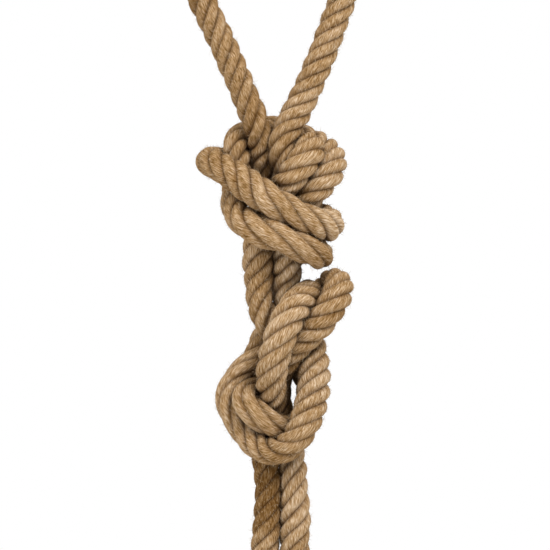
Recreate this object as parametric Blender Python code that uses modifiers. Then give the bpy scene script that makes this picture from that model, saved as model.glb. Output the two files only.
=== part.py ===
"""Hanging end of a rope hammock, in metres, +Z up.

Two thick laid ropes come down from two hanging pins, each from an eye around a steel thimble. They
are tied together twice with overhand knots, and each ends below in a second eye. The two lower eyes
share one steel ring, which the hammock clips to. The origin is midway between the hanging pins.
"""
import math

import bpy
import numpy as np
from mathutils import Matrix, Vector

# Driving sizes
ROPE_D = 0.016            # the rope's diameter where it is pulled straight
GAP = 0.0003              # clearance between pieces that touch
PIN_SPACING = 0.109       # from one hanging pin to the other
LEG_DROP = 0.056          # from the pins down to the first point of the knotted part
SPREAD_RUN = 0.014        # length over which the two tails part to make room for their seizings
THIMBLE_BORE_R = 0.010
THIMBLE_WALL = 0.0028     # from the bore to the floor of the rope's groove
THIMBLE_LIP = 0.0026      # how far the lips stand out past the groove's floor
THIMBLE_W = 0.0156        # along the bore
SEIZING_LENGTH = 0.018
SEIZING_WALL = 0.002
STUB = 0.004              # rope end that shows past its seizing
RING_R = 0.040            # to the middle of the wire
RING_WIRE_D = 0.006

# Rope diameters, like every number in the two lists of points
UPPER_HINGE = -9.5        # height at which the ropes bend between the two knots
LOWER_HINGE = -17.6       # height at which the tails bend under the lower knot
STEP = 0.4                # between the points of a settled rope
TIGHT = 0.94              # how near two stretches of rope press together in a knot
PINNED = 0.45             # stretch above and below a bend that stays where it is

# Each point is x, z, how far it stands out to the front, and the rope's width there.
LEFT_ROPE = (
    (-2.62, 0, 0, 1), (-1.91, -1.45, 0, 1), (-1.31, -2.85, 0.05, 1), (-0.83, -4, 0.1, 1),
    (-0.5, -4.85, 0, 1), (-0.3, -5.65, -0.45, 1), (-0.05, -6.55, -0.9, 0.95), (0.45, -7.5, -1.1, 0.95),
    (1, -8.35, -0.95, 0.95), (1.54, -9, -0.3, 0.95), (1.56, -9.12, 0.45, 1), (1.12, -8.88, 1, 1.05),
    (0.4, -8.5, 1.25, 1.05), (-0.4, -8.12, 1.15, 1.17), (-1.13, -8, 0.8, 1.14),
    (-1.52, -7.4, 0.35, 1.06), (-1.38, -6.65, -0.05, 1), (-1.4, -5.8, -0.2, 1), (-1.2, -5.05, -0.6, 1),
    (-0.7, -4.7, -1.1, 1), (0, -4.7, -1.45, 1), (0.6, -4.9, -1.4, 1), (1.2, -5.2, -1.1, 1.05),
    (1.8, -5.42, -0.5, 1.1), (1.98, -5.9, 0.15, 1.13), (1.66, -6.45, 0.45, 1.12),
    (1.12, -7.08, 0.35, 1.03), (0.75, -7.95, 0, 1.05), (0.45, -8.8, -0.1, 1.15),
    (0.42, -9.5, -0.1, 1.15), (0.45, -10.35, -0.25, 1), (0.7, -11.05, -0.45, 1),
    (0.85, -11.85, -0.6, 1), (1.1, -12.75, -0.15, 1.08), (1.35, -13.2, 0.25, 1.2),
    (1.38, -13.95, 0.55, 1.24), (1.23, -14.6, 0.9, 1.2), (0.97, -15.2, 1.15, 1.1),
    (0.55, -15.72, 1.15, 1.05), (-0.05, -15.95, 0.85, 1), (-0.55, -15.85, 0.45, 1),
    (-0.87, -15.5, 0.15, 0.95), (-1.2, -15.02, 0, 0.9), (-1.78, -14.45, -0.05, 0.88),
    (-1.2, -13.88, -0.4, 0.85), (-0.68, -13.38, -0.65, 0.88), (-0.52, -12.82, -0.75, 0.92),
    (-0.42, -12.28, -0.9, 1), (0, -11.65, -1.2, 1), (0.45, -11, -1.2, 1), (0.8, -10.65, -0.7, 1),
    (0.95, -10.6, 0.2, 1.1), (0.8, -10.95, 0.95, 1.15), (0.45, -11.55, 1.25, 1.18),
    (0.2, -12.3, 1.25, 1.18), (-0.05, -13.05, 1, 1.15), (-0.22, -13.65, 0.6, 1.1),
    (-0.42, -14.25, 0.05, 1.08), (-0.45, -14.95, -0.2, 1), (-0.45, -15.65, -0.35, 1),
    (-0.26, -16.45, -0.2, 1), (-0.24, -17.1, -0.05, 0.97), (-0.25, -17.6, 0, 0.97),
    (-0.29, -18.5, 0, 1.02), (-0.33, -19.5, 0, 1.04),
)
RIGHT_ROPE = (
    (2.38, 0, 0, 1), (1.89, -1.45, 0, 1.03), (1.3, -2.85, 0.05, 1.03), (0.8, -4.05, 0.1, 1.08),
    (0.42, -4.95, 0, 1), (0.2, -5.7, -0.4, 1), (0.3, -6.55, -0.85, 0.95), (0.85, -7.25, -1.1, 0.95),
    (1.6, -7.7, -0.8, 1), (2.05, -8.02, -0.15, 1.14), (1.9, -8.12, 0.5, 1.18), (1.3, -7.95, 0.85, 1.12),
    (0.6, -7.65, 0.95, 1.1), (-0.05, -7.25, 1.1, 1.16), (-0.75, -6.8, 1.13, 1.2),
    (-1.38, -6.32, 0.93, 1.15), (-1.97, -5.87, 0.5, 1.05), (-2.17, -5.72, -0.2, 1.05),
    (-1.82, -5.55, -0.9, 1), (-1.2, -5.55, -1.2, 1), (-0.45, -5.55, -1.35, 1), (0.25, -5.35, -1.1, 1),
    (0.75, -5.2, -0.6, 1.05), (1.03, -5.3, 0.15, 1.12), (0.92, -5.75, 0.75, 1.15),
    (0.55, -6.3, 0.85, 1.12), (0.12, -6.95, 0.55, 1), (-0.25, -7.6, 0.15, 1), (-0.5, -8.3, 0, 1.1),
    (-0.57, -8.95, 0.1, 1.15), (-0.61, -9.5, 0.1, 1.15), (-0.47, -10.35, 0.05, 1), (-0.18, -11, 0, 1),
    (0.06, -11.6, -0.15, 1), (0.3, -12.2, -0.4, 1), (0.8, -12.8, -0.6, 0.95), (1.2, -13.35, -0.7, 0.95),
    (1.4, -14, -0.6, 0.95), (1.35, -14.7, -0.4, 1), (1.05, -15.25, -0.15, 1), (0.62, -15.5, 0.15, 1),
    (0.2, -15.4, 0.5, 1), (-0.2, -15.12, 0.8, 1), (-0.57, -14.72, 0.9, 1), (-0.83, -14.25, 0.6, 1.03),
    (-0.7, -13.95, -0.3, 0.9), (-0.6, -13.5, -1.15, 0.93), (-0.1, -13.1, -1.65, 0.97),
    (0.65, -12.45, -1.6, 1), (1.15, -11.5, -1.5, 1), (1.42, -10.35, -1.2, 1),
    (2.1, -10.05, -0.45, 1.05), (2.42, -10.28, 0.4, 1.1), (1.95, -10.8, 0.75, 1.12),
    (1.5, -11.35, 0.8, 1.1), (1, -12, 0.7, 1.08), (0.55, -12.6, 0.4, 1), (0.2, -13.15, 0.05, 1),
    (-0.12, -13.75, -0.5, 0.93), (-0.08, -14.4, -0.8, 0.95), (0.22, -15.1, -0.7, 1),
    (0.5, -15.9, -0.5, 1), (0.59, -16.7, -0.2, 1), (0.69, -17.6, 0, 1.03), (0.73, -18.5, 0, 1.12),
    (0.67, -19.5, 0, 1.1),
)

# Sizes that follow from those above
PAIR = ROPE_D + 2 * GAP                                   # between the two parts of an eye
GROOVE_R = ROPE_D / 2 + 2 * GAP                           # of the groove that holds the rope
TURN_R = THIMBLE_BORE_R + THIMBLE_WALL + GROOVE_R         # of the rope's middle around a thimble
NECK = 1.7 * TURN_R                                       # from a thimble to its seizing
EYE_LENGTH = NECK + SEIZING_LENGTH + STUB
TAIL_X = (LEFT_ROPE[-1][0] + RIGHT_ROPE[-1][0]) / 2 * ROPE_D
TAIL_SPACING = ROPE_D + 2 * SEIZING_WALL + 6 * GAP
LOWER_EYE_Z = LEFT_ROPE[-1][1] * ROPE_D - LEG_DROP - SPREAD_RUN - EYE_LENGTH

JUTE = (0.39, 0.26, 0.13, 1)
TWINE = (0.52, 0.40, 0.24, 1)
STEEL = (0.56, 0.57, 0.58, 1)


def clear_scene():
    for thing in list(bpy.data.objects):
        bpy.data.objects.remove(thing, do_unlink=True)


def give_material(thing, color, roughness, metallic):
    material = bpy.data.materials.new(thing.name)
    material.use_nodes = True
    shader = material.node_tree.nodes["Principled BSDF"]
    shader.inputs["Base Color"].default_value = color
    shader.inputs["Roughness"].default_value = roughness
    shader.inputs["Metallic"].default_value = metallic
    material.diffuse_color = color
    thing.data.materials.append(material)


def add_object(name, data, collection):
    thing = bpy.data.objects.new(name, data)
    collection.objects.link(thing)
    return thing


# ---------------------------------------------------------------- routes

def smooth(points, per_span=12):
    """Centripetal Catmull-Rom curve through the points."""
    knots = np.array(points, dtype=float)
    knots = np.vstack([2 * knots[0] - knots[1], knots, 2 * knots[-1] - knots[-2]])
    curve = []
    for i in range(1, len(knots) - 2):
        p = knots[i - 1:i + 3]
        gaps = np.maximum(np.linalg.norm(np.diff(p[:, :3], axis=0), axis=1), 1e-6) ** 0.5
        t = np.concatenate([[0], np.cumsum(gaps)])
        for u in np.linspace(t[1], t[2], per_span, endpoint=False):
            a = [((t[k + 1] - u) * p[k] + (u - t[k]) * p[k + 1]) / (t[k + 1] - t[k]) for k in range(3)]
            b = [((t[k + 2] - u) * a[k] + (u - t[k]) * a[k + 1]) / (t[k + 2] - t[k]) for k in range(2)]
            curve.append(((t[2] - u) * b[0] + (u - t[1]) * b[1]) / (t[2] - t[1]))
    curve.append(knots[-2])
    return np.array(curve)


def even(curve, step):
    """The same curve with its points a step apart."""
    lengths = np.linalg.norm(np.diff(curve[:, :3], axis=0), axis=1)
    along = np.concatenate([[0], np.cumsum(lengths)])
    places = np.linspace(0, along[-1], max(2, round(along[-1] / step)) + 1)
    return np.stack([np.interp(places, along, column) for column in curve.T], axis=1)


def settle(ropes):
    """Tighten the knots: press stretches of rope apart until they lie side by side."""
    line = np.vstack(ropes)
    owner = np.concatenate([np.full(len(rope), k) for k, rope in enumerate(ropes)])
    order = np.concatenate([np.arange(len(rope)) for rope in ropes])
    home, width = line[:, :3].copy(), line[:, 3]
    height = (home[:, 2] + LEG_DROP) / ROPE_D
    free = (height < 0) & (height > LEFT_ROPE[-1][1])
    for hinge in (UPPER_HINGE, LOWER_HINGE):
        free &= np.abs(height - hinge) > PINNED
    near = (owner[:, None] == owner) & (np.abs(order[:, None] - order) <= 4)
    need = np.where(near, 0, TIGHT * ROPE_D * (width[:, None] + width) / 2)
    inner = np.zeros(len(line), dtype=bool)
    inner[1:-1] = (owner[1:-1] == owner[:-2]) & (owner[1:-1] == owner[2:])
    spots = home.copy()
    for _ in range(300):
        apart = spots[:, None] - spots
        distance = np.sqrt((apart ** 2).sum(axis=2)) + 1e-9
        over = np.maximum(need - distance, 0)
        touching = np.maximum((over > 0).sum(axis=1), 1)
        push = (apart * (over / distance)[..., None]).sum(axis=1) / np.sqrt(touching)[:, None]
        bend = np.zeros_like(spots)
        bend[1:-1] = (spots[:-2] + spots[2:]) / 2 - spots[1:-1]
        bend *= inner[:, None]
        kink = np.zeros_like(spots)
        kink[1:-1] = (bend[:-2] + bend[2:]) / 2 - bend[1:-1]
        kink *= inner[:, None]
        move = 0.6 * push + 0.03 * bend - 0.15 * kink + 0.02 * (home - spots)
        spots += move * free[:, None]
    return [np.hstack([spots[owner == k], width[owner == k, None]]) for k in range(len(ropes))]


def eye(centre, away, side):
    """Route of an eye, from the rope's cut end around the thimble to the standing part."""
    half = PAIR / 2
    places = [(-EYE_LENGTH, half), (-EYE_LENGTH + STUB + SEIZING_LENGTH / 2, half), (-NECK, half)]
    for degrees in range(120, -121, -30):
        turn = math.radians(degrees)
        places.append((TURN_R * math.cos(turn), TURN_R * math.sin(turn)))
    places += [(-NECK, -half), (-EYE_LENGTH + STUB + SEIZING_LENGTH / 2, -half), (-EYE_LENGTH, -half)]
    return [(*(centre + away * u + side * v), 1.0) for u, v in places]


def upper_eye_frame(sign):
    """Centre of an upper thimble, and the directions away from its leg and across the eye."""
    centre = Vector((sign * PIN_SPACING / 2, 0, 0))
    top = (LEFT_ROPE if sign < 0 else RIGHT_ROPE)[0]
    to_leg = Vector((top[0] * ROPE_D, 0, top[1] * ROPE_D - LEG_DROP)) - centre
    lean = math.asin(PAIR / 2 / to_leg.length)
    down = Matrix.Rotation(sign * lean, 3, "Y") @ to_leg.normalized()
    across = Vector((-down.z, 0, down.x)) * -sign
    return centre, -down, across


def lower_eye_frame(sign):
    centre = Vector((TAIL_X + sign * TAIL_SPACING / 2, PAIR / 2, LOWER_EYE_Z))
    return centre, Vector((0, 0, -1)), Vector((0, 1, 0))


def whole_route(points, upper_sign, lower_sign):
    knotted = [(x * ROPE_D, -out * ROPE_D, z * ROPE_D - LEG_DROP, width) for x, z, out, width in points]
    return eye(*upper_eye_frame(upper_sign)) + knotted + eye(*lower_eye_frame(lower_sign))[::-1]


def pressed_radii(ropes):
    """Radius at each point: half the rope's width, or what its neighbours leave."""
    fine = [even(rope, STEP * ROPE_D / 4) for rope in ropes]
    radii = []
    for k, rope in enumerate(ropes):
        radius = rope[:, 3] * ROPE_D / 2
        for j, other in enumerate(fine):
            distance = np.linalg.norm(rope[:, None, :3] - other[:, :3], axis=2)
            if j == k:
                steps = np.abs(np.arange(len(rope))[:, None] * (len(other) - 1) / (len(rope) - 1)
                               - np.arange(len(other)))
                distance = np.where(steps <= 17, np.inf, distance)
            share = rope[:, None, 3] / (rope[:, None, 3] + other[:, 3])
            radius = np.minimum(radius, ((distance - 5 * GAP) * share).min(axis=1))
        radii.append(radius)
    return radii


# ---------------------------------------------------------------- ropes

def rope_tube(name, spots, radii, collection):
    curve = bpy.data.curves.new(name, "CURVE")
    curve.dimensions = "3D"
    curve.bevel_depth = 1.0
    curve.bevel_resolution = 2
    curve.use_fill_caps = True
    spline = curve.splines.new("POLY")
    spline.points.add(len(spots) - 1)
    for point, spot, radius in zip(spline.points, spots, radii):
        point.co = (*spot, 1)
        point.radius = radius
    tube = add_object(name, curve, collection)
    give_material(tube, JUTE, 0.9, 0.0)


def split_at(spots, radii, height):
    """Two stretches that meet at a bend: the upper one ends in a ball around the bend's axis."""
    last = max(k for k in range(len(spots) - 1) if spots[k][2] > height >= spots[k + 1][2])
    share = (spots[last][2] - height) / (spots[last][2] - spots[last + 1][2])
    middle = spots[last] + share * (spots[last + 1] - spots[last])
    radius = ROPE_D / 2 - GAP
    beyond = next(k for k in range(last + 1, len(spots)) if np.linalg.norm(spots[k] - middle) > 1.7 * radius)
    ahead = spots[beyond] - middle
    ahead *= radius / np.linalg.norm(ahead)
    ball = [(math.sin(a), math.cos(a)) for a in np.radians((0, 25, 50, 70, 86))]
    upper = np.vstack([spots[:last], [middle + ahead * depth for depth, _ in ball]])
    upper_radii = np.concatenate([radii[:last], [radius * wide for _, wide in ball]])
    lower = np.vstack([middle + ahead * (1 + 3 * GAP / radius), spots[beyond:]])
    lower_radii = np.concatenate([[radius], radii[beyond:]])
    return (upper, upper_radii), (lower, lower_radii)


def build_ropes(collection):
    routes = [whole_route(LEFT_ROPE, -1, -1), whole_route(RIGHT_ROPE, 1, 1)]
    ropes = settle([even(smooth(route), STEP * ROPE_D) for route in routes])
    for side, rope, radii in zip(("left", "right"), ropes, pressed_radii(ropes)):
        spots = rope[:, :3]
        top, rest = split_at(spots, radii, UPPER_HINGE * ROPE_D - LEG_DROP)
        knot, tail = split_at(*rest, LOWER_HINGE * ROPE_D - LEG_DROP)
        rope_tube(f"rope_{side}_top", *top, collection)
        rope_tube(f"rope_{side}_knot", *knot, collection)
        rope_tube(f"rope_{side}_tail", *tail, collection)


# ---------------------------------------------------------------- fittings

def build_thimble(name, centre, axis, collection):
    """Round thimble: a grooved ring turned about its bore."""
    half = THIMBLE_W / 2
    floor = THIMBLE_BORE_R + THIMBLE_WALL
    lip = floor + THIMBLE_LIP
    reach = math.acos((TURN_R - lip) / GROOVE_R)
    outline = [(THIMBLE_BORE_R, half), (lip, half)]
    for k in range(7):
        turn = reach * (1 - k / 3)
        outline.append((TURN_R - GROOVE_R * math.cos(turn), GROOVE_R * math.sin(turn)))
    outline += [(lip, -half), (THIMBLE_BORE_R, -half)]
    mesh = bpy.data.meshes.new(name)
    edges = [(k, (k + 1) % len(outline)) for k in range(len(outline))]
    mesh.from_pydata([(x, 0, z) for x, z in outline], edges, [])
    thimble = add_object(name, mesh, collection)
    screw = thimble.modifiers.new("turn", "SCREW")
    screw.axis = "Z"
    screw.steps = 28
    screw.render_steps = 28
    screw.use_merge_vertices = True
    screw.merge_threshold = 0.00005
    thimble.matrix_world = Matrix.Translation(centre) @ axis.to_track_quat("Z", "Y").to_matrix().to_4x4()
    give_material(thimble, STEEL, 0.35, 1.0)


def oval(spline, radius):
    """Closed outline around the two parts of an eye, which lie side by side along X."""
    places = []
    for sign in (1, -1):
        for k in range(9):
            turn = math.radians(-90 + 22.5 * k)
            places.append((sign * (PAIR / 2 + radius * math.cos(turn)), sign * radius * math.sin(turn), 0, 1))
    spline.points.add(len(places) - 1)
    for point, place in zip(spline.points, places):
        point.co = place
    spline.use_cyclic_u = True


def build_seizing(name, frame, collection):
    """Twine wound around both parts of an eye, close below the thimble."""
    centre, away, side = frame
    curve = bpy.data.curves.new(name, "CURVE")
    curve.dimensions = "2D"
    curve.fill_mode = "BOTH"
    curve.extrude = SEIZING_LENGTH / 2
    oval(curve.splines.new("POLY"), ROPE_D / 2 + 2 * GAP + SEIZING_WALL)
    oval(curve.splines.new("POLY"), ROPE_D / 2 + 2 * GAP)
    seizing = add_object(name, curve, collection)
    turned = Matrix((side, away.cross(side), away)).transposed().to_4x4()
    seizing.matrix_world = Matrix.Translation(centre - away * (NECK + SEIZING_LENGTH / 2)) @ turned
    give_material(seizing, TWINE, 0.85, 0.0)


def build_ring(collection):
    bpy.ops.mesh.primitive_torus_add(
        major_radius=RING_R, minor_radius=RING_WIRE_D / 2, major_segments=40, minor_segments=10,
        location=(TAIL_X, PAIR / 2, LOWER_EYE_Z - RING_R), rotation=(math.pi / 2, 0, 0))
    ring = bpy.context.object
    ring.name = "ring"
    for holder in list(ring.users_collection):
        holder.objects.unlink(ring)
    collection.objects.link(ring)
    give_material(ring, STEEL, 0.3, 1.0)


def build():
    clear_scene()
    collection = bpy.data.collections.new("rope_hammock_hanger")
    bpy.context.scene.collection.children.link(collection)
    build_ropes(collection)
    for side, sign in (("left", -1), ("right", 1)):
        upper, lower = upper_eye_frame(sign), lower_eye_frame(sign)
        build_thimble(f"thimble_top_{side}", upper[0], Vector((0, 1, 0)), collection)
        build_thimble(f"thimble_bottom_{side}", lower[0], Vector((1, 0, 0)), collection)
        build_seizing(f"seizing_top_{side}", upper, collection)
        build_seizing(f"seizing_bottom_{side}", lower, collection)
    build_ring(collection)


build()
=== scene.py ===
import math

import bpy
import numpy as np
from mathutils import Matrix, Vector


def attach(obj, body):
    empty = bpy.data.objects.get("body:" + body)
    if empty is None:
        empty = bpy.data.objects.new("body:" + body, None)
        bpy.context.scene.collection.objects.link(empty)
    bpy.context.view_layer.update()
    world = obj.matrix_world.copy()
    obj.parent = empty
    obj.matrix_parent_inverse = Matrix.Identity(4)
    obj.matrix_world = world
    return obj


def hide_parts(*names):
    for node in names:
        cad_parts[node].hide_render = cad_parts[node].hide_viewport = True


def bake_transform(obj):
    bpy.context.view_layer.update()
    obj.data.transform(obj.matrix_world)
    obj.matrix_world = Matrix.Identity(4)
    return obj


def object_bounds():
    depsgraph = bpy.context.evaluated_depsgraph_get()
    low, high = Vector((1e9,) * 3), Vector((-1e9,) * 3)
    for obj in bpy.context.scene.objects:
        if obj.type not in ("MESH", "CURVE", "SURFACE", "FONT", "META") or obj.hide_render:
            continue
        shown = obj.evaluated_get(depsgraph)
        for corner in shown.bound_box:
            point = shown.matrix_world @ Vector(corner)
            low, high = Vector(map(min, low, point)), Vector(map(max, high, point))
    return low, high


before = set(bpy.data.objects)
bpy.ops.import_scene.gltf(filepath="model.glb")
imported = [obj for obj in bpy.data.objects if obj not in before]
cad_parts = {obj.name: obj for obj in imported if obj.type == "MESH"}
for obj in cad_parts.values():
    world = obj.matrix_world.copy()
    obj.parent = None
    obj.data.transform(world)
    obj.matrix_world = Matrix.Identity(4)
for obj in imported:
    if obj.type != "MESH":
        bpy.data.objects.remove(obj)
cad_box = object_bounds()

# Sizes in metres, as in the part's own source
ROPE_D = 0.016            # the rope's diameter where it is pulled straight
GAP = 0.0003              # clearance between pieces that touch
PIN_SPACING = 0.109       # from one hanging pin to the other
LEG_DROP = 0.056          # from the pins down to the first point of the knotted part
SPREAD_RUN = 0.014        # length over which the two tails part to make room for their seizings
THIMBLE_BORE_R = 0.010
THIMBLE_WALL = 0.0028     # from the bore to the floor of the rope's groove
SEIZING_LENGTH = 0.018
SEIZING_WALL = 0.002
STUB = 0.004              # from a seizing to the end of the rope's route

# Rope diameters, like every number in the two lists of points
UPPER_HINGE = -9.5        # height at which the ropes bend between the two knots
LOWER_HINGE = -17.6       # height at which the tails bend under the lower knot
STEP = 0.4                # between the points of a settled rope
TIGHT = 0.94              # how near two stretches of rope press together in a knot
PINNED = 0.45             # stretch above and below a bend that stays where it is
SETTLE_ROUNDS = 300
SPAN_POINTS = 12          # points of the smooth curve from one listed point to the next
EYE_POINTS = 15           # points that eye() puts before and after each list

# Each point is x, z, how far it stands out to the front, and the rope's width there.
LEFT_ROPE = (
    (-2.62, 0, 0, 1), (-1.91, -1.45, 0, 1), (-1.31, -2.85, 0.05, 1), (-0.83, -4, 0.1, 1),
    (-0.5, -4.85, 0, 1), (-0.3, -5.65, -0.45, 1), (-0.05, -6.55, -0.9, 0.95), (0.45, -7.5, -1.1, 0.95),
    (1, -8.35, -0.95, 0.95), (1.54, -9, -0.3, 0.95), (1.56, -9.12, 0.45, 1), (1.12, -8.88, 1, 1.05),
    (0.4, -8.5, 1.25, 1.05), (-0.4, -8.12, 1.15, 1.17), (-1.13, -8, 0.8, 1.14),
    (-1.52, -7.4, 0.35, 1.06), (-1.38, -6.65, -0.05, 1), (-1.4, -5.8, -0.2, 1), (-1.2, -5.05, -0.6, 1),
    (-0.7, -4.7, -1.1, 1), (0, -4.7, -1.45, 1), (0.6, -4.9, -1.4, 1), (1.2, -5.2, -1.1, 1.05),
    (1.8, -5.42, -0.5, 1.1), (1.98, -5.9, 0.15, 1.13), (1.66, -6.45, 0.45, 1.12),
    (1.12, -7.08, 0.35, 1.03), (0.75, -7.95, 0, 1.05), (0.45, -8.8, -0.1, 1.15),
    (0.42, -9.5, -0.1, 1.15), (0.45, -10.35, -0.25, 1), (0.7, -11.05, -0.45, 1),
    (0.85, -11.85, -0.6, 1), (1.1, -12.75, -0.15, 1.08), (1.35, -13.2, 0.25, 1.2),
    (1.38, -13.95, 0.55, 1.24), (1.23, -14.6, 0.9, 1.2), (0.97, -15.2, 1.15, 1.1),
    (0.55, -15.72, 1.15, 1.05), (-0.05, -15.95, 0.85, 1), (-0.55, -15.85, 0.45, 1),
    (-0.87, -15.5, 0.15, 0.95), (-1.2, -15.02, 0, 0.9), (-1.78, -14.45, -0.05, 0.88),
    (-1.2, -13.88, -0.4, 0.85), (-0.68, -13.38, -0.65, 0.88), (-0.52, -12.82, -0.75, 0.92),
    (-0.42, -12.28, -0.9, 1), (0, -11.65, -1.2, 1), (0.45, -11, -1.2, 1), (0.8, -10.65, -0.7, 1),
    (0.95, -10.6, 0.2, 1.1), (0.8, -10.95, 0.95, 1.15), (0.45, -11.55, 1.25, 1.18),
    (0.2, -12.3, 1.25, 1.18), (-0.05, -13.05, 1, 1.15), (-0.22, -13.65, 0.6, 1.1),
    (-0.42, -14.25, 0.05, 1.08), (-0.45, -14.95, -0.2, 1), (-0.45, -15.65, -0.35, 1),
    (-0.26, -16.45, -0.2, 1), (-0.24, -17.1, -0.05, 0.97), (-0.25, -17.6, 0, 0.97),
    (-0.29, -18.5, 0, 1.02), (-0.33, -19.5, 0, 1.04),
)
RIGHT_ROPE = (
    (2.38, 0, 0, 1), (1.89, -1.45, 0, 1.03), (1.3, -2.85, 0.05, 1.03), (0.8, -4.05, 0.1, 1.08),
    (0.42, -4.95, 0, 1), (0.2, -5.7, -0.4, 1), (0.3, -6.55, -0.85, 0.95), (0.85, -7.25, -1.1, 0.95),
    (1.6, -7.7, -0.8, 1), (2.05, -8.02, -0.15, 1.14), (1.9, -8.12, 0.5, 1.18), (1.3, -7.95, 0.85, 1.12),
    (0.6, -7.65, 0.95, 1.1), (-0.05, -7.25, 1.1, 1.16), (-0.75, -6.8, 1.13, 1.2),
    (-1.38, -6.32, 0.93, 1.15), (-1.97, -5.87, 0.5, 1.05), (-2.17, -5.72, -0.2, 1.05),
    (-1.82, -5.55, -0.9, 1), (-1.2, -5.55, -1.2, 1), (-0.45, -5.55, -1.35, 1), (0.25, -5.35, -1.1, 1),
    (0.75, -5.2, -0.6, 1.05), (1.03, -5.3, 0.15, 1.12), (0.92, -5.75, 0.75, 1.15),
    (0.55, -6.3, 0.85, 1.12), (0.12, -6.95, 0.55, 1), (-0.25, -7.6, 0.15, 1), (-0.5, -8.3, 0, 1.1),
    (-0.57, -8.95, 0.1, 1.15), (-0.61, -9.5, 0.1, 1.15), (-0.47, -10.35, 0.05, 1), (-0.18, -11, 0, 1),
    (0.06, -11.6, -0.15, 1), (0.3, -12.2, -0.4, 1), (0.8, -12.8, -0.6, 0.95), (1.2, -13.35, -0.7, 0.95),
    (1.4, -14, -0.6, 0.95), (1.35, -14.7, -0.4, 1), (1.05, -15.25, -0.15, 1), (0.62, -15.5, 0.15, 1),
    (0.2, -15.4, 0.5, 1), (-0.2, -15.12, 0.8, 1), (-0.57, -14.72, 0.9, 1), (-0.83, -14.25, 0.6, 1.03),
    (-0.7, -13.95, -0.3, 0.9), (-0.6, -13.5, -1.15, 0.93), (-0.1, -13.1, -1.65, 0.97),
    (0.65, -12.45, -1.6, 1), (1.15, -11.5, -1.5, 1), (1.42, -10.35, -1.2, 1),
    (2.1, -10.05, -0.45, 1.05), (2.42, -10.28, 0.4, 1.1), (1.95, -10.8, 0.75, 1.12),
    (1.5, -11.35, 0.8, 1.1), (1, -12, 0.7, 1.08), (0.55, -12.6, 0.4, 1), (0.2, -13.15, 0.05, 1),
    (-0.12, -13.75, -0.5, 0.93), (-0.08, -14.4, -0.8, 0.95), (0.22, -15.1, -0.7, 1),
    (0.5, -15.9, -0.5, 1), (0.59, -16.7, -0.2, 1), (0.69, -17.6, 0, 1.03), (0.73, -18.5, 0, 1.12),
    (0.67, -19.5, 0, 1.1),
)

# Sizes that follow from those above
PAIR = ROPE_D + 2 * GAP
GROOVE_R = ROPE_D / 2 + 2 * GAP
TURN_R = THIMBLE_BORE_R + THIMBLE_WALL + GROOVE_R
NECK = 1.7 * TURN_R
EYE_LENGTH = NECK + SEIZING_LENGTH + STUB
TAIL_X = (LEFT_ROPE[-1][0] + RIGHT_ROPE[-1][0]) / 2 * ROPE_D
TAIL_SPACING = ROPE_D + 2 * SEIZING_WALL + 6 * GAP
LOWER_EYE_Z = LEFT_ROPE[-1][1] * ROPE_D - LEG_DROP - SPREAD_RUN - EYE_LENGTH

# The laid rope, in rope diameters
LAY = 2.4                 # length over which a strand goes once around the rope
STRANDS = 4
STRAND_OUT = 0.268        # from the rope's middle to a strand's middle
STRAND_DEEP = 0.236       # half a strand's section, outward
STRAND_WIDE = 0.262       # half a strand's section, around the rope
STRAND_ROUND = 2.05       # exponent of the section: 2 is an ellipse, more is squarer
RING_STEP = 0.09          # from one ring of points to the next
SECTION = 18              # points around a strand
TUCKED = 4                # rings left off each cut end, which its seizing hides
FUZZ_PER_D = 225          # loose fibres on each diameter of length
FUZZ_LENGTHS = (0.03, 0.09, 0.24)   # shortest, usual spread, and extra of the rare long ones

# In metres
FUZZ_REACH = 0.0119       # furthest a loose fibre's tip may be from the rope's middle
FUZZ_THIN = 0.00005
FUZZ_THICK = 0.0001
WOUND_SHORT = 0.0015      # how much shorter the visible winding is than the seizing's solid

# The twine of the seizings
WINDING_TURNS = 8
TURN_POINTS = 34          # points along one turn
TWINE_SIDES = 9

# Seeds of the random draws
SEEDS = {"left": 11, "right": 23}

# Stretches of the lists where the lay has opened: first point, last point, share of the usual twist
OPENED = {
    "left": ((9, 14, 0.45), (40, 46, 0.55), (52, 57, 0.89)),
    "right": ((10, 14, 0.6), (40, 46, 0.4)),
}
# Stretches of the lists whose strand colour is simply made paler (above 0) or darker (below 0), for no given
# cause: first point, last point, how much
TONE_SHIFTS = {
    "left": (
        (-5, 5, -0.3), (6, 11, -0.2), (15, 17, -0.2), (21, 26, 0.3), (26, 31, 0.4), (31, 36, 0.4),
        (37, 40, -0.3), (42, 45, 0.2), (49, 56, 0.35), (58, 64, -1.1)),
    "right": ((5, 7, -0.5), (8, 11, 0.5), (13, 19, -0.3), (60, 65, 0.3)),
}
# How far each rope's lay is turned at its start, in radians
LAY_START = {"left": 0.52, "right": 0.0}
# Point of each list, deep behind the lower knot, where one piece of rope mesh meets the next
CUT_POINT = {"left": 48, "right": 48}
FADE_SHARE = 0.012        # share of a rope's length over which an opened or toned stretch starts and ends

# Camera and floor
VIEW_TALL = 19.64 * ROPE_D                 # height that the camera takes in
VIEW_MIDDLE = Vector((0, 0, -LEG_DROP - VIEW_TALL / 2))
CAMERA_DISTANCE = 1.7
SENSOR = 36                                # in millimetres
FLOOR_DROP = 0.4                           # from the ring down to the floor
FLOOR_R = 3
FLOOR_SIDES = 96


# ---------------------------------------------------------------- camera, light and floor

def add_object(name, data):
    thing = bpy.data.objects.new(name, data)
    bpy.context.scene.collection.objects.link(thing)
    return thing


def place_camera():
    """Level camera straight in front, on the middle of the knotted stretch."""
    data = bpy.data.cameras.new("camera")
    data.sensor_width = SENSOR
    data.lens = SENSOR * CAMERA_DISTANCE / VIEW_TALL
    camera = add_object("camera", data)
    camera.location = VIEW_MIDDLE + Vector((0, -CAMERA_DISTANCE, 0))
    camera.rotation_euler = (math.pi / 2, 0, 0)
    bpy.context.scene.camera = camera


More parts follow.
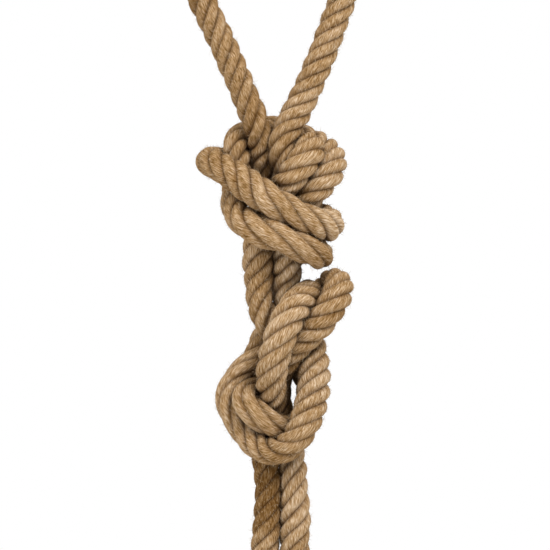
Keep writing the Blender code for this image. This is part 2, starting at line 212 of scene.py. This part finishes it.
def area_light(name, place, size, watts, color):
    """Square light at a place measured from the view's middle, turned towards that middle."""
    data = bpy.data.lights.new(name, "AREA")
    data.size = size
    data.energy = watts
    data.color = color
    light = add_object(name, data)
    light.location = VIEW_MIDDLE + Vector(place)
    light.rotation_euler = (-Vector(place)).to_track_quat("-Z", "Y").to_euler()


def light_and_floor():
    """White studio: key from the upper right, weak fill from the left, round pale floor."""
    scene = bpy.context.scene
    scene.view_settings.view_transform = "Standard"
    world = bpy.data.worlds.new("studio")
    world.use_nodes = True
    background = world.node_tree.nodes["Background"]
    background.inputs["Color"].default_value = (1, 1, 1, 1)
    background.inputs["Strength"].default_value = 1.0
    scene.world = world
    area_light("key", (0.45, -0.95, 0.95), 0.45, 13.4, (1, 0.97, 0.93))
    area_light("fill", (-0.9, -0.8, 0.2), 0.8, 4, (0.97, 0.98, 1))
    floor = bpy.data.meshes.new("floor")
    low = cad_box[0][2] - FLOOR_DROP
    turns = [2 * math.pi * k / FLOOR_SIDES for k in range(FLOOR_SIDES)]
    edge = [(FLOOR_R * math.cos(turn), FLOOR_R * math.sin(turn), low) for turn in turns]
    floor.from_pydata(edge, [], [range(FLOOR_SIDES)])
    floor = add_object("floor", floor)
    n = Nodes("pale_floor")
    n.put(n.shader, "Base Color", (0.86, 0.86, 0.85, 1))
    n.put(n.shader, "Roughness", 0.8)
    floor.data.materials.append(n.material)


# ---------------------------------------------------------------- routes

def smooth(points, per_span=SPAN_POINTS):
    """Centripetal Catmull-Rom curve through the points."""
    knots = np.array(points, dtype=float)
    knots = np.vstack([2 * knots[0] - knots[1], knots, 2 * knots[-1] - knots[-2]])
    curve = []
    for i in range(1, len(knots) - 2):
        p = knots[i - 1:i + 3]
        gaps = np.maximum(np.linalg.norm(np.diff(p[:, :3], axis=0), axis=1), 1e-6) ** 0.5
        t = np.concatenate([[0], np.cumsum(gaps)])
        for u in np.linspace(t[1], t[2], per_span, endpoint=False):
            a = [((t[k + 1] - u) * p[k] + (u - t[k]) * p[k + 1]) / (t[k + 1] - t[k]) for k in range(3)]
            b = [((t[k + 2] - u) * a[k] + (u - t[k]) * a[k + 1]) / (t[k + 2] - t[k]) for k in range(2)]
            curve.append(((t[2] - u) * b[0] + (u - t[1]) * b[1]) / (t[2] - t[1]))
    curve.append(knots[-2])
    return np.array(curve)


def even(curve, step):
    """The same curve with its points a step apart."""
    lengths = np.linalg.norm(np.diff(curve[:, :3], axis=0), axis=1)
    along = np.concatenate([[0], np.cumsum(lengths)])
    places = np.linspace(0, along[-1], max(2, round(along[-1] / step)) + 1)
    return np.stack([np.interp(places, along, column) for column in curve.T], axis=1)


def settle(ropes):
    """Tighten the knots: press stretches of rope apart until they lie side by side."""
    line = np.vstack(ropes)
    owner = np.concatenate([np.full(len(rope), k) for k, rope in enumerate(ropes)])
    order = np.concatenate([np.arange(len(rope)) for rope in ropes])
    home, width = line[:, :3].copy(), line[:, 3]
    height = (home[:, 2] + LEG_DROP) / ROPE_D
    free = (height < 0) & (height > LEFT_ROPE[-1][1])
    for hinge in (UPPER_HINGE, LOWER_HINGE):
        free &= np.abs(height - hinge) > PINNED
    near = (owner[:, None] == owner) & (np.abs(order[:, None] - order) <= 4)
    need = np.where(near, 0, TIGHT * ROPE_D * (width[:, None] + width) / 2)
    inner = np.zeros(len(line), dtype=bool)
    inner[1:-1] = (owner[1:-1] == owner[:-2]) & (owner[1:-1] == owner[2:])
    spots = home.copy()
    for _ in range(SETTLE_ROUNDS):
        apart = spots[:, None] - spots
        distance = np.sqrt((apart ** 2).sum(axis=2)) + 1e-9
        over = np.maximum(need - distance, 0)
        touching = np.maximum((over > 0).sum(axis=1), 1)
        push = (apart * (over / distance)[..., None]).sum(axis=1) / np.sqrt(touching)[:, None]
        bend = np.zeros_like(spots)
        bend[1:-1] = (spots[:-2] + spots[2:]) / 2 - spots[1:-1]
        bend *= inner[:, None]
        kink = np.zeros_like(spots)
        kink[1:-1] = (bend[:-2] + bend[2:]) / 2 - bend[1:-1]
        kink *= inner[:, None]
        move = 0.6 * push + 0.03 * bend - 0.15 * kink + 0.02 * (home - spots)
        spots += move * free[:, None]
    return [np.hstack([spots[owner == k], width[owner == k, None]]) for k in range(len(ropes))]


def eye(centre, away, side):
    """Route of an eye, from the rope's cut end around the thimble to the standing part."""
    half = PAIR / 2
    places = [(-EYE_LENGTH, half), (-EYE_LENGTH + STUB + SEIZING_LENGTH / 2, half), (-NECK, half)]
    for degrees in range(120, -121, -30):
        turn = math.radians(degrees)
        places.append((TURN_R * math.cos(turn), TURN_R * math.sin(turn)))
    places += [(-NECK, -half), (-EYE_LENGTH + STUB + SEIZING_LENGTH / 2, -half), (-EYE_LENGTH, -half)]
    return [(*(centre + away * u + side * v), 1.0) for u, v in places]


def upper_eye_frame(sign):
    """Centre of an upper thimble, and the directions away from its leg and across the eye."""
    centre = Vector((sign * PIN_SPACING / 2, 0, 0))
    top = (LEFT_ROPE if sign < 0 else RIGHT_ROPE)[0]
    to_leg = Vector((top[0] * ROPE_D, 0, top[1] * ROPE_D - LEG_DROP)) - centre
    lean = math.asin(PAIR / 2 / to_leg.length)
    down = Matrix.Rotation(sign * lean, 3, "Y") @ to_leg.normalized()
    across = Vector((-down.z, 0, down.x)) * -sign
    return centre, -down, across


def lower_eye_frame(sign):
    """The same three for a lower thimble, whose eye hangs straight down."""
    centre = Vector((TAIL_X + sign * TAIL_SPACING / 2, PAIR / 2, LOWER_EYE_Z))
    return centre, Vector((0, 0, -1)), Vector((0, 1, 0))


def whole_route(points, sign):
    """A rope's route in metres, from its upper cut end to its lower one."""
    knotted = [(x * ROPE_D, -out * ROPE_D, z * ROPE_D - LEG_DROP, width) for x, z, out, width in points]
    return eye(*upper_eye_frame(sign)) + knotted + eye(*lower_eye_frame(sign))[::-1]


def stretch(share, first, last, rings):
    """1 on the rings between two listed points and 0 elsewhere, with soft ends."""
    here = np.linspace(0, 1, rings)
    begin, end = share[EYE_POINTS + first], share[EYE_POINTS + last]
    return fade((here - begin) / FADE_SHARE) * fade((end - here) / FADE_SHARE)


def settled_lines():
    """For each rope its middle line and the ring where one piece of mesh meets the next.

    A ring of the line holds x, y, z, width, share of the usual twist and change of tone.
    """
    lines = {}
    routes = {"left": whole_route(LEFT_ROPE, -1), "right": whole_route(RIGHT_ROPE, 1)}
    coarse = {side: smooth(route) for side, route in routes.items()}
    settled = settle([even(curve, STEP * ROPE_D) for curve in coarse.values()])
    for (side, curve), rope in zip(coarse.items(), settled):
        along = np.concatenate([[0], np.cumsum(np.linalg.norm(np.diff(curve[:, :3], axis=0), axis=1))])
        share = along[::SPAN_POINTS] / along[-1]
        line = even(smooth(rope, 8), RING_STEP * ROPE_D)
        twist = np.ones(len(line))
        for first, last, least in OPENED[side]:
            twist -= (1 - least) * stretch(share, first, last, len(line))
        shade = np.zeros(len(line))
        for first, last, change in TONE_SHIFTS[side]:
            shade += change * stretch(share, first, last, len(line))
        cut = int(share[EYE_POINTS + CUT_POINT[side]] * (len(line) - 1))
        lines[side] = (np.column_stack([line, twist, shade]), cut)
    return lines


# ---------------------------------------------------------------- laid rope

def fade(value):
    """Soft step from 0 at 0 to 1 at 1."""
    value = np.clip(value, 0, 1)
    return value * value * (3 - 2 * value)


def frames_along(spots):
    """Directions along, across and up at each ring, turning as little as they can."""
    ahead = np.gradient(spots, axis=0)
    ahead /= np.linalg.norm(ahead, axis=1)[:, None]
    across = np.zeros_like(spots)
    side = np.cross(ahead[0], (0.0, 1.0, 0.3))
    across[0] = side / np.linalg.norm(side)
    for k in range(1, len(spots)):
        side = across[k - 1] - ahead[k] * (across[k - 1] @ ahead[k])
        across[k] = side / np.linalg.norm(side)
    return ahead, across, np.cross(ahead, across)


def wander(count, every, rng):
    """Smooth noise from -1 to 1 along a line of rings, with a new value every so many rings."""
    knots = rng.uniform(-1, 1, int(count / every) + 3)
    place = np.arange(count) / every + rng.uniform(0, 1)
    k = place.astype(int)
    part = fade(place - k)
    return knots[k] * (1 - part) + knots[k + 1] * part


class Laid:
    """Surface of a laid rope: for each strand a grid of points, rings by section points."""

    def __init__(self, line, seed, start):
        rng = np.random.default_rng(seed)
        spots, width = line[:, :3], line[:, 3] * ROPE_D
        count = len(spots)
        self.spots = spots
        self.ahead, across, up = frames_along(spots)
        steps = np.linalg.norm(np.diff(spots, axis=0, prepend=spots[:1]), axis=1)
        self.along = np.cumsum(steps) / ROPE_D
        phase = start + np.cumsum(steps * line[:, 4]) * 2 * math.pi / (LAY * ROPE_D)
        u = np.linspace(0, 2 * math.pi, SECTION, endpoint=False)
        fullness = 2 / STRAND_ROUND
        deep = np.sign(np.cos(u)) * np.abs(np.cos(u)) ** fullness
        wide = np.sign(np.sin(u)) * np.abs(np.sin(u)) ** fullness
        self.points, self.middles, self.fibre, self.crease, self.tone = [], [], [], [], []
        for strand in range(STRANDS):
            angle = phase + strand * 2 * math.pi / STRANDS + 0.07 * wander(count, 14, rng)
            outward = np.cos(angle)[:, None] * across + np.sin(angle)[:, None] * up
            around = np.cross(self.ahead, outward)
            out = (STRAND_OUT + 0.012 * wander(count, 9, rng)) * width
            half_deep = STRAND_DEEP * (1 + 0.05 * wander(count, 6, rng)) * width
            half_wide = STRAND_WIDE * (1 + 0.04 * wander(count, 8, rng)) * width
            rise = out[:, None] + half_deep[:, None] * deep
            slide = half_wide[:, None] * wide
            points = spots[:, None] + rise[..., None] * outward[:, None] + slide[..., None] * around[:, None]
            turned = np.arctan2(slide, rise)
            far = np.hypot(rise, slide) / width[:, None]
            self.points.append(points)
            self.middles.append(spots + out[:, None] * outward)
            self.fibre.append(np.stack([0.5 * (angle[:, None] + turned),
                                        np.broadcast_to(self.along[:, None], turned.shape)], axis=2))
            # crease runs from 0 on a strand's crest to 1 deep in the groove between strands; the strand
            # material paints shade with it
            self.crease.append(1 - fade((far - 0.36) / 0.13))
            self.tone.append(0.5 + 0.2 * rng.uniform(-1, 1) + 0.2 * wander(count, 22, rng) + line[:, 5])


def strand_mesh(laid, first, last):
    """Vertices, faces and per-vertex values of the strands between two rings, with closed ends."""
    vertices, faces, fibre, crease, tone = [], [], [], [], []
    start = 0
    count = last - first + 1
    ring = np.arange(SECTION)
    beside = (ring + 1) % SECTION
    for points, middles, uv, dark, tint in zip(laid.points, laid.middles, laid.fibre, laid.crease, laid.tone):
        vertices += [points[first:last + 1].reshape(-1, 3), middles[[first, last]]]
        fibre += [uv[first:last + 1].reshape(-1, 2), uv[[first, last], 0]]
        crease += [dark[first:last + 1].ravel(), np.zeros(2)]
        tone += [np.repeat(tint[first:last + 1], SECTION), tint[[first, last]]]
        base = start + np.arange(count - 1)[:, None] * SECTION
        quads = np.stack([base + ring, base + beside, base + SECTION + beside, base + SECTION + ring], axis=2)
        faces += quads.reshape(-1, 4).tolist()
        low, high = start + count * SECTION, start + count * SECTION + 1
        faces += [(low, start + b, start + a) for a, b in zip(ring, beside)]
        end = start + (count - 1) * SECTION
        faces += [(high, end + a, end + b) for a, b in zip(ring, beside)]
        start += count * SECTION + 2
    return np.vstack(vertices), faces, np.vstack(fibre), np.concatenate(crease), np.concatenate(tone)


def loose_fibres(laid, first, last, rng):
    """Fine tapered hairs that stand off the strands, each a three-sided spike of four stations."""
    count = int(FUZZ_PER_D * (laid.along[last] - laid.along[first]))
    ring = rng.integers(first + 2, last - 2, count)
    strand = rng.integers(0, STRANDS, count)
    outer = np.array([j for j in range(SECTION) if math.cos(2 * math.pi * j / SECTION) > -0.1])
    spot = rng.choice(outer, count)
    grid, middles = np.array(laid.points), np.array(laid.middles)
    root = grid[strand, ring, spot]
    normal = root - middles[strand, ring]
    normal /= np.linalg.norm(normal, axis=1)[:, None]
    along = laid.ahead[ring] * rng.choice((-1, 1), count)[:, None]
    stray = rng.normal(0, 0.45, (count, 3))
    lift = rng.uniform(0.25, 1.0, count)
    way = normal * lift[:, None] + along * rng.uniform(0.2, 1.2, count)[:, None] + stray * 0.7
    way /= np.linalg.norm(way, axis=1)[:, None]
    shortest, usual, extra = FUZZ_LENGTHS
    length = ROPE_D * (shortest + usual * rng.random(count) + extra * rng.random(count) ** 7)
    curl = (along * rng.uniform(-0.5, 0.8, count)[:, None] + rng.normal(0, 0.4, (count, 3))) * length[:, None]
    tip = root + way * length[:, None] + curl * 0.5
    far = np.linalg.norm(tip - laid.spots[ring], axis=1)
    shrink = np.where(far > FUZZ_REACH, 0.25, 1.0)
    length, curl = length * shrink, curl * shrink[:, None]
    first_side = np.cross(way, normal + 0.3 * along + 0.01)
    first_side /= np.linalg.norm(first_side, axis=1)[:, None]
    second_side = np.cross(way, first_side)
    thick = rng.uniform(FUZZ_THIN, FUZZ_THICK, count)
    vertices = []
    for station, thin in ((-0.15, 1.0), (0.35, 0.85), (0.7, 0.6)):
        middle = root + way * (length * station)[:, None] + curl * (0.5 * max(station, 0) ** 2)
        for corner in range(3):
            turn = 2 * math.pi * corner / 3
            off = first_side * math.cos(turn) + second_side * math.sin(turn)
            vertices.append(middle + off * (thick * thin)[:, None])
    vertices.append(root + way * length[:, None] + curl * 0.5)
    vertices = np.stack(vertices, axis=1)
    base = np.arange(count)[:, None, None] * 10
    walls = np.array([[3 * s + c, 3 * s + (c + 1) % 3, 3 * s + 3 + (c + 1) % 3, 3 * s + 3 + c]
                      for s in range(2) for c in range(3)])
    tips = np.array([[6 + c, 6 + (c + 1) % 3, 9] for c in range(3)] + [[0, 2, 1]])
    faces = (base + walls).reshape(-1, 4).tolist() + (base + tips).reshape(-1, 3).tolist()
    return vertices.reshape(-1, 3), faces


def make_mesh(name, parts, materials):
    """One object from parts of vertices, faces, UVs, crease and tone; part k wears material k."""
    vertices, faces, slots, uvs, creases, tones = [], [], [], [], [], []
    start = 0
    for slot, (points, part_faces, uv, crease, tone) in enumerate(parts):
        vertices.append(points)
        faces += [[start + corner for corner in face] for face in part_faces]
        slots += [slot] * len(part_faces)
        uvs.append(uv)
        creases.append(crease)
        tones.append(tone)
        start += len(points)
    mesh = bpy.data.meshes.new(name)
    mesh.from_pydata(np.vstack(vertices).tolist(), [], faces)
    corner_vertex = np.empty(len(mesh.loops), dtype=np.int32)
    mesh.loops.foreach_get("vertex_index", corner_vertex)
    layer = mesh.uv_layers.new(name="fibre")
    layer.data.foreach_set("uv", np.vstack(uvs)[corner_vertex].astype(np.float32).ravel())
    for label, values in (("crease", creases), ("tone", tones)):
        attribute = mesh.attributes.new(label, "FLOAT", "POINT")
        attribute.data.foreach_set("value", np.concatenate(values).astype(np.float32))
    mesh.polygons.foreach_set("material_index", slots)
    mesh.polygons.foreach_set("use_smooth", [True] * len(mesh.polygons))
    for material in materials:
        mesh.materials.append(material)
    mesh.update()
    return add_object(name, mesh)


# ---------------------------------------------------------------- materials

class Nodes:
    """A few short ways to add nodes to a material."""

    def __init__(self, name):
        self.material = bpy.data.materials.new(name)
        self.material.use_nodes = True
        self.tree = self.material.node_tree
        self.shader = self.tree.nodes["Principled BSDF"]

    def add(self, kind, inputs=(), **settings):
        node = self.tree.nodes.new(kind)
        for key, value in settings.items():
            setattr(node, key, value)
        for key, value in dict(inputs).items():
            self.put(node, key, value)
        return node

    def put(self, node, key, value):
        if isinstance(value, bpy.types.NodeSocket):
            self.tree.links.new(value, node.inputs[key])
        else:
            node.inputs[key].default_value = value

    def stretched(self, across, along, source):
        scale = self.add("ShaderNodeVectorMath", {0: source, 1: (across, along, 1)}, operation="MULTIPLY")
        return scale.outputs[0]

    def noise(self, vector, scale=1.0, detail=3.0, rough=0.6, distortion=0.0):
        node = self.add("ShaderNodeTexNoise", {"Vector": vector, "Scale": scale, "Detail": detail,
                                               "Roughness": rough, "Distortion": distortion})
        return node.outputs["Fac"]

    def ramp(self, value, stops):
        node = self.add("ShaderNodeValToRGB", {"Fac": value})
        elements = node.color_ramp.elements
        while len(elements) < len(stops):
            elements.new(0.5)
        for element, (place, color) in zip(elements, stops):
            element.position = place
            element.color = (*color, 1)
        return node.outputs["Color"]

    def span(self, value, low, high, to_low, to_high):
        node = self.add("ShaderNodeMapRange", {"Value": value, "From Min": low, "From Max": high,
                                               "To Min": to_low, "To Max": to_high})
        return node.outputs["Result"]

    def math(self, operation, a, b):
        return self.add("ShaderNodeMath", {0: a, 1: b}, operation=operation).outputs[0]

    def mix(self, factor, a, b):
        node = self.add("ShaderNodeMix", data_type="RGBA")
        for socket, value in ((node.inputs[0], factor), (node.inputs[6], a), (node.inputs[7], b)):
            if isinstance(value, bpy.types.NodeSocket):
                self.tree.links.new(value, socket)
            else:
                socket.default_value = value
        return node.outputs[2]

    def bump(self, height, strength, distance, before=None):
        inputs = {"Height": height, "Strength": strength, "Distance": distance}
        if before is not None:
            inputs["Normal"] = before
        return self.add("ShaderNodeBump", inputs).outputs["Normal"]


def jute():
    """Strand fibre: fine streaks along the rope, uneven tone, and painted shade in the grooves between
    strands and in the hollows where other rope covers it.
    """
    n = Nodes("jute_strand")
    uv = n.add("ShaderNodeUVMap", uv_map="fibre").outputs["UV"]
    place = n.add("ShaderNodeTexCoord").outputs["Object"]
    fine = n.noise(n.stretched(38, 4.4, uv), detail=2, rough=0.62, distortion=0.4)
    yarn = n.noise(n.stretched(6, 0.8, uv), detail=2, rough=0.5)
    patch = n.noise(place, scale=55, detail=3)
    crease = n.add("ShaderNodeAttribute", attribute_name="crease").outputs["Fac"]
    tone = n.add("ShaderNodeAttribute", attribute_name="tone").outputs["Fac"]
    level = n.math("ADD", n.math("MULTIPLY", fine, 2.15), n.math("MULTIPLY", yarn, 0.4))
    level = n.math("ADD", level, n.math("MULTIPLY", patch, 0.3))
    level = n.math("ADD", level, n.math("MULTIPLY", tone, 0.3))
    color = n.ramp(n.span(level, 1.10, 2.05, 0, 1), (
        (0.0, (0.100, 0.045, 0.010)), (0.3, (0.235, 0.132, 0.050)),
        (0.6, (0.375, 0.240, 0.120)), (1.0, (0.640, 0.495, 0.350))))
    # Painted shade in hollows: ambient occlusion darkens the colour where other rope hides the strand, half
    # as much inside the grooves
    occlusion_shade = n.add("ShaderNodeAmbientOcclusion", {"Distance": 0.025}, samples=8).outputs["AO"]
    # Painted shade in the grooves between strands: the colour darkens with the crease mask
    color = n.mix(n.math("MULTIPLY", crease, 0.6), color, (0.11, 0.052, 0.016, 1))
    dark = n.math("MULTIPLY", n.span(occlusion_shade, 0.07, 0.5, 0.97, 0), n.span(crease, 0, 1, 1, 0.5))
    n.put(n.shader, "Base Color", n.mix(dark, color, (0.046, 0.018, 0.004, 1)))
    n.put(n.shader, "Roughness", n.span(fine, 0.3, 0.7, 0.95, 0.72))
    first = n.bump(yarn, 0.5, 0.0009)
    n.put(n.shader, "Normal", n.bump(fine, 0.9, 0.0007, first))
    n.shader.inputs["Specular IOR Level"].default_value = 0.02
    return n.material


def loose_fibre():
    """Hairs of uneven pale brown, with painted shade where they lie deep between ropes."""
    n = Nodes("jute_loose_fibre")
    place = n.add("ShaderNodeTexCoord").outputs["Object"]
    tint = n.noise(place, scale=900, detail=1)
    color = n.ramp(tint, ((0.3, (0.42, 0.29, 0.16)), (0.7, (0.72, 0.57, 0.38))))
    # Painted shade: ambient occlusion darkens the hairs that lie deep between ropes
    occlusion_shade = n.add("ShaderNodeAmbientOcclusion", {"Distance": 0.025}, samples=8).outputs["AO"]
    n.put(n.shader, "Base Color", n.mix(n.span(occlusion_shade, 0.2, 0.7, 0.9, 0), color, (0.11, 0.052, 0.016, 1)))
    n.put(n.shader, "Roughness", n.span(tint, 0.3, 0.7, 0.6, 0.85))
    return n.material


def twine():
    """Tight three-ply twine: slanting plies, fine fibre, and painted shade where its turns and the rope hide
    it.
    """
    n = Nodes("twine")
    uv = n.add("ShaderNodeUVMap", uv_map="fibre").outputs["UV"]
    across, along, _ = n.add("ShaderNodeSeparateXYZ", {"Vector": uv}).outputs
    ply = n.math("SINE", n.math("ADD", n.math("MULTIPLY", across, 18.85), n.math("MULTIPLY", along, 42)), 0.0)
    fine = n.noise(n.stretched(20, 9, uv), detail=3)
    level = n.math("ADD", n.math("MULTIPLY", n.span(ply, -1, 1, 0, 1), 0.5), n.math("MULTIPLY", fine, 0.6))
    # Painted shade: ambient occlusion darkens the twine where its turns and the rope hide it
    occlusion_shade = n.add("ShaderNodeAmbientOcclusion", {"Distance": 0.0015}, samples=8).outputs["AO"]
    color = n.ramp(level, ((0.1, (0.17, 0.11, 0.06)), (0.9, (0.60, 0.47, 0.31))))
    n.put(n.shader, "Base Color", n.mix(n.span(occlusion_shade, 0.2, 0.8, 0.9, 0), color, (0.045, 0.022, 0.008, 1)))
    n.put(n.shader, "Roughness", n.span(fine, 0.3, 0.7, 0.9, 0.7))
    n.put(n.shader, "Normal", n.bump(level, 0.9, 0.0003))
    return n.material


def steel(name, base, rough, spangle):
    """Zinc-coated or brushed steel: faint spangle, fine scratches and dull patches."""
    n = Nodes(name)
    place = n.add("ShaderNodeTexCoord").outputs["Object"]
    flake = n.add("ShaderNodeTexVoronoi", {"Vector": place, "Scale": spangle}).outputs["Color"]
    flake = n.add("ShaderNodeSeparateColor", {"Color": flake}).outputs[0]
    wear = n.noise(place, scale=160, detail=5)
    scratch = n.noise(n.stretched(300, 300, place), scale=6, detail=2)
    light = tuple(min(1, c * 1.15) for c in base)
    low = tuple(c * 0.78 for c in base)
    level = n.math("ADD", n.math("MULTIPLY", flake, 0.5), n.math("MULTIPLY", wear, 0.5))
    n.put(n.shader, "Base Color", n.ramp(level, ((0.25, low), (0.75, light))))
    n.put(n.shader, "Roughness", n.span(level, 0.2, 0.8, rough + 0.12, rough - 0.08))
    n.put(n.shader, "Normal", n.bump(scratch, 0.15, 0.0001))
    n.shader.inputs["Metallic"].default_value = 1.0
    return n.material


# ---------------------------------------------------------------- pieces

def build_ropes(strand_look, fibre_look):
    """Each rope as two pieces of strands and loose fibres, cut deep behind the lower knot; each holds one of
    the two hinge heights.
    """
    stands_for = {"upper": ("top",), "lower": ("knot", "tail")}
    for side, (line, cut) in settled_lines().items():
        laid = Laid(line, SEEDS[side], LAY_START[side])
        for part, first, last in (("upper", TUCKED, cut), ("lower", cut, len(line) - 1 - TUCKED)):
            strands = strand_mesh(laid, first, last)
            rng = np.random.default_rng(SEEDS[side] * 10 + first)
            hair_points, hair_faces = loose_fibres(laid, first, last, rng)
            blank = np.zeros(len(hair_points))
            hair = (hair_points, hair_faces, np.zeros((len(hair_points), 2)), blank, blank + 0.5)
            name = f"laid_rope_{side}_{part}"
            piece = make_mesh(name, (strands, hair), (strand_look, fibre_look))
            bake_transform(piece)
            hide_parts(*[f"rope_{side}_{word}" for word in stands_for[part]])


def winding_route(frame_of_eye, turns, twine_r):
    """Middle line of twine wound round and round both parts of an eye."""
    centre, away, side = frame_of_eye
    third = away.cross(side)
    radius = ROPE_D / 2 + 2 * GAP + twine_r * 0.9
    straight, bend = PAIR, math.pi * radius
    around = 2 * (straight + bend)
    count = turns * TURN_POINTS
    spots = []
    for k in range(count + 1):
        share = k / count
        place = (share * turns % 1) * around
        if place < bend:
            turn = place / radius - math.pi / 2
            x, y = PAIR / 2 + radius * math.cos(turn), radius * math.sin(turn)
        elif place < bend + straight:
            x, y = PAIR / 2 - (place - bend), radius
        elif place < 2 * bend + straight:
            turn = (place - bend - straight) / radius + math.pi / 2
            x, y = -PAIR / 2 + radius * math.cos(turn), radius * math.sin(turn)
        else:
            x, y = -PAIR / 2 + (place - 2 * bend - straight), -radius
        height = NECK + twine_r + share * (SEIZING_LENGTH - 2 * twine_r - WOUND_SHORT)
        spots.append(centre + side * x + third * y - away * height)
    return np.array(spots)


def build_winding(name, frame_of_eye, body, look):
    """One length of twine as a tube along its winding route."""
    twine_r = SEIZING_LENGTH / (WINDING_TURNS + 1) / 2
    spots = winding_route(frame_of_eye, WINDING_TURNS, twine_r)
    ahead, across, up = frames_along(spots)
    u = np.linspace(0, 2 * math.pi, TWINE_SIDES, endpoint=False)
    outward = np.cos(u)[:, None] * across[:, None] + np.sin(u)[:, None] * up[:, None]
    points = spots[:, None] + twine_r * outward
    ring = np.arange(TWINE_SIDES)
    beside = (ring + 1) % TWINE_SIDES
    last = (len(spots) - 1) * TWINE_SIDES
    base = np.arange(0, last, TWINE_SIDES)[:, None]
    after = base + TWINE_SIDES
    faces = np.stack([base + ring, base + beside, after + beside, after + ring], axis=2)
    faces = faces.reshape(-1, 4).tolist()
    faces += [ring[::-1].tolist(), (last + ring).tolist()]
    run = np.cumsum(np.linalg.norm(np.diff(spots, axis=0, prepend=spots[:1]), axis=1)) / (6 * twine_r)
    uv = np.stack([np.broadcast_to(u / (2 * math.pi), points.shape[:2]),
                   np.broadcast_to(run[:, None], points.shape[:2])], axis=2)
    flat = points.reshape(-1, 3)
    blank = np.zeros(len(flat))
    parts = ((flat, faces, uv.reshape(-1, 2), blank, blank),)
    piece = make_mesh(name.replace("seizing", "winding"), parts, (look,))
    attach(piece, body)
    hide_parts(name)


def build_fittings():
    """Windings of twine, galvanised thimbles and the satin ring."""
    look = twine()
    galvanised = steel("galvanised_steel", (0.50, 0.51, 0.52), 0.42, 420)
    satin = steel("satin_steel", (0.58, 0.58, 0.59), 0.30, 900)
    for side, sign in (("left", -1), ("right", 1)):
        build_winding(f"seizing_top_{side}", upper_eye_frame(sign), "hanger", look)
        build_winding(f"seizing_bottom_{side}", lower_eye_frame(sign), "tails", look)
        for level in ("top", "bottom"):
            dress(f"thimble_{level}_{side}", galvanised)
    dress("ring", satin)


def dress(node, material):
    """Gives a CAD piece its finished material."""
    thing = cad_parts[node]
    if not thing.material_slots:
        thing.data.materials.append(material)
    for slot in thing.material_slots:
        slot.material = material


place_camera()
light_and_floor()
build_ropes(jute(), loose_fibre())
build_fittings()
